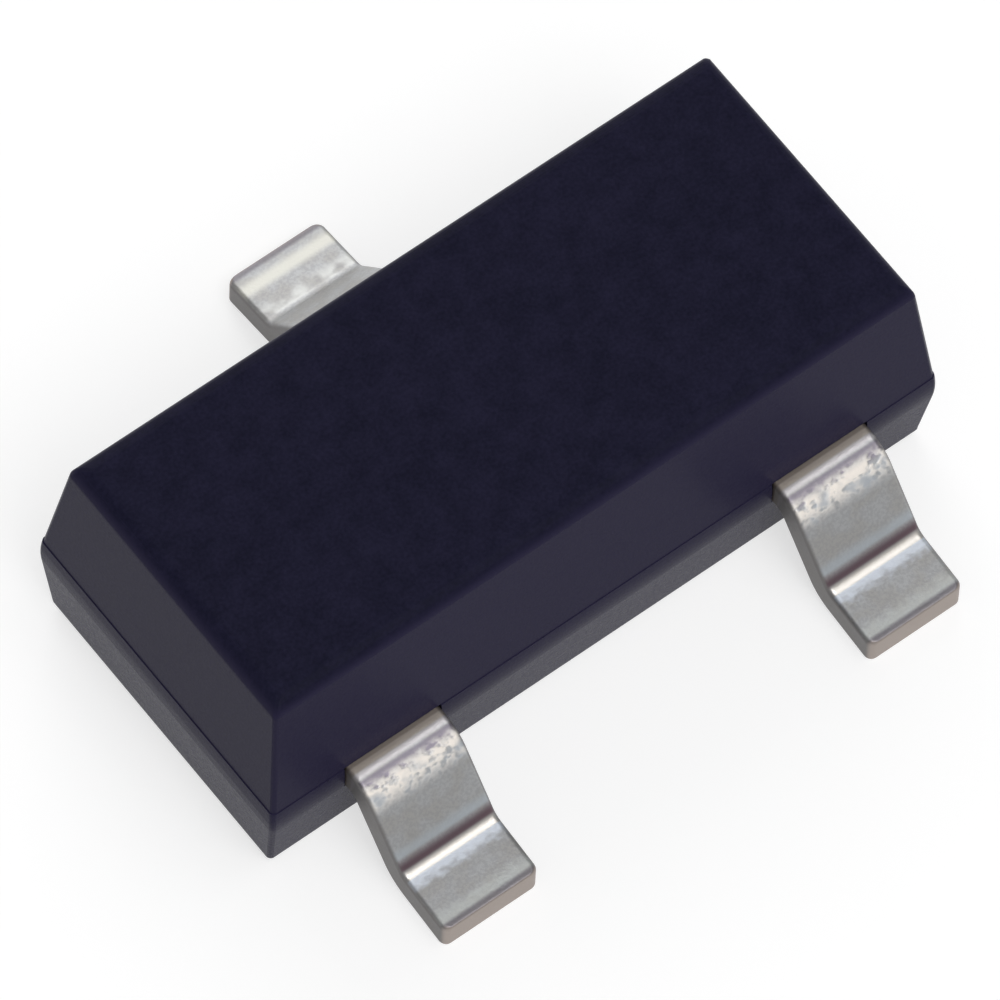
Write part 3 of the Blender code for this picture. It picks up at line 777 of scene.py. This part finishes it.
compound, tree = new_material("black_epoxy_moulding_compound")
on_object = add_node(tree, PLACE).outputs["Object"]
height = add_node(tree, SPLIT, {0: on_object}).outputs["Z"]
grains = add_node(tree, NOISE, {"Vector": on_object, "Scale": 1 / GRAIN, "Detail": 2.0})
mottle = add_node(tree, NOISE, {"Vector": on_object, "Scale": 1 / MOTTLE, "Detail": 4.0})
on_top = add_node(tree, RANGE, {
    "Value": height, "From Min": TOP_FROM, "From Max": TOP_FULL}, interpolation_type="SMOOTHSTEP")
speckle = add_node(tree, MIX, {"Factor": 0.5, "A": grains, "B": mottle})
contrast = add_node(tree, RANGE, {"Value": speckle, "From Min": 0.35, "From Max": 0.65})
moulded = add_node(tree, MIX, {
    "Factor": contrast, "A": linear("#171728"), "B": linear("#212034")}, data_type="RGBA")
# The walls get a paler, bluer colour than the top: painted light.
mottle_and_painted_walls = add_node(tree, MIX, {
    "Factor": on_top, "A": linear("#2d2a42"), "B": moulded}, data_type="RGBA")
side_roughness = add_node(tree, RANGE, {
    "Value": grains, "From Min": NOISE_LOW, "From Max": NOISE_HIGH,
    "To Min": 0.24, "To Max": 0.32})
relief = add_node(tree, BUMP, {"Height": grains, "Distance": GRAIN_RELIEF, "Strength": 0.5})
epoxy = add_node(tree, SURFACE, {
    "Base Color": mottle_and_painted_walls, "IOR": 1.5, "Specular IOR Level": GLOSS, "Normal": relief,
    "Roughness": add_node(tree, MATH, {
        0: on_top, 1: TOP_ROUGHER, 2: side_roughness}, operation="MULTIPLY_ADD")})
add_node(tree, "ShaderNodeOutputMaterial", {"Surface": epoxy})
dress("moulded_body", compound)
print("Top of the body at", round(BODY_TOP / MM, 3), "mm")

# %% [markdown]
# ## What the body hides: the die
#
# Inside lie the silicon die, the silver-filled epoxy that bonds it to the paddle, and a gold wire.
# Nothing of them shows, but a part that is cut open should still look right, so each one gets its
# own finish. The die is polished on top, with a square pad of aluminium in the middle to take the
# wire, and its sides are rough from the saw.

# %% Die
PAD_HALF = 0.12 * MM                  # half a side of the aluminium pad
PAD_BLUR = 0.002 * MM
POLISH_BELOW, POLISH_FULL = 0.004 * MM, 0.001 * MM      # below the top face
SAW_MARK = 0.010 * MM
SAW_RELIEF = 0.002 * MM

silicon, tree = new_material("polished_silicon")
on_object = add_node(tree, PLACE).outputs["Object"]
die_low, die_high = (Vector(corner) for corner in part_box("zener_die"))
die_middle = (die_low + die_high) / 2
from_middle = add_node(tree, VECTOR_MATH, {0: on_object, 1: die_middle}, operation="SUBTRACT")
away = add_node(tree, SPLIT, {
    0: add_node(tree, VECTOR_MATH, {0: from_middle}, operation="ABSOLUTE")}).outputs
farthest = add_node(tree, MATH, {0: away["X"], 1: away["Y"]}, operation="MAXIMUM")
face = die_high.z - die_middle.z
polished = add_node(tree, RANGE, {
    "Value": away["Z"], "From Min": face - POLISH_BELOW, "From Max": face - POLISH_FULL})
inside_pad = add_node(tree, RANGE, {
    "Value": farthest, "From Min": PAD_HALF + PAD_BLUR, "From Max": PAD_HALF})
pad = add_node(tree, MATH, {0: polished, 1: inside_pad}, operation="MULTIPLY")
saw_marks = add_node(tree, NOISE, {"Vector": on_object, "Scale": 1 / SAW_MARK, "Detail": 2.0})
crystal = add_node(tree, SURFACE, {
    "Base Color": add_node(tree, MIX, {
        "Factor": pad, "A": linear("#4a4d58"), "B": linear("#d9dadc")}, data_type="RGBA"),
    "Roughness": add_node(tree, MIX, {"Factor": polished, "A": 0.55, "B": 0.16}),
    "Metallic": 0.9,
    "Normal": add_node(tree, BUMP, {
        "Height": saw_marks, "Distance": SAW_RELIEF,
        "Strength": add_node(tree, MIX, {"Factor": polished, "A": 0.8, "B": 0.05})})})
add_node(tree, "ShaderNodeOutputMaterial", {"Surface": crystal})
dress("zener_die", silicon)

# %% [markdown]
# ## What the body hides: bond layer and wire
#
# The flakes of silver lie in the epoxy at all angles, so a pattern of small cells varies its
# colour, its roughness and its relief. The wire is drawn through ever smaller holes, which leaves
# it bright, with faint changes along it.

# %% Bond layer and wire
SILVER_FLAKE = 0.008 * MM
SILVER_RELIEF = 0.002 * MM
DRAW_LINE = 0.005 * MM

silver_epoxy, tree = new_material("silver_filled_epoxy")
on_object = add_node(tree, PLACE).outputs["Object"]
cells = add_node(tree, "ShaderNodeTexVoronoi", {
    "Vector": on_object, "Scale": 1 / SILVER_FLAKE}).outputs["Distance"]
dullness = add_node(tree, RANGE, {"Value": cells, "From Min": 0.1, "From Max": 0.6})
paste = add_node(tree, SURFACE, {
    "Base Color": add_node(tree, MIX, {
        "Factor": dullness, "A": linear("#cfccc4"), "B": linear("#8f8b82")}, data_type="RGBA"),
    "Roughness": add_node(tree, MIX, {"Factor": dullness, "A": 0.35, "B": 0.60}),
    "Metallic": 0.6,
    "Normal": add_node(tree, BUMP, {"Height": cells, "Distance": SILVER_RELIEF})})
add_node(tree, "ShaderNodeOutputMaterial", {"Surface": paste})
dress("die_attach", silver_epoxy)

gold, tree = new_material("drawn_gold_wire")
on_object = add_node(tree, PLACE).outputs["Object"]
draw_lines = add_node(tree, NOISE, {"Vector": on_object, "Scale": 1 / DRAW_LINE, "Detail": 1.0})
drawn = add_node(tree, SURFACE, {
    "Base Color": add_node(tree, MIX, {
        "Factor": draw_lines, "A": linear("#e8c274"), "B": linear("#f2d48c")}, data_type="RGBA"),
    "Roughness": add_node(tree, MIX, {"Factor": draw_lines, "A": 0.14, "B": 0.32}),
    "Metallic": 1.0})
add_node(tree, "ShaderNodeOutputMaterial", {"Surface": drawn})
dress("bond_wire", gold)

# %% [markdown]
# ## Sizes, and the last line
#
# The dressed part must stay the size of the solids, so both boxes are written out to compare.

# %% Print both boxes and finish
dressed_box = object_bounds()
for label, (low, high) in (("Solids", cad_box), ("Dressed", dressed_box)):
    print(label, "measure", [round(size / MM, 3) for size in high - low], "mm")
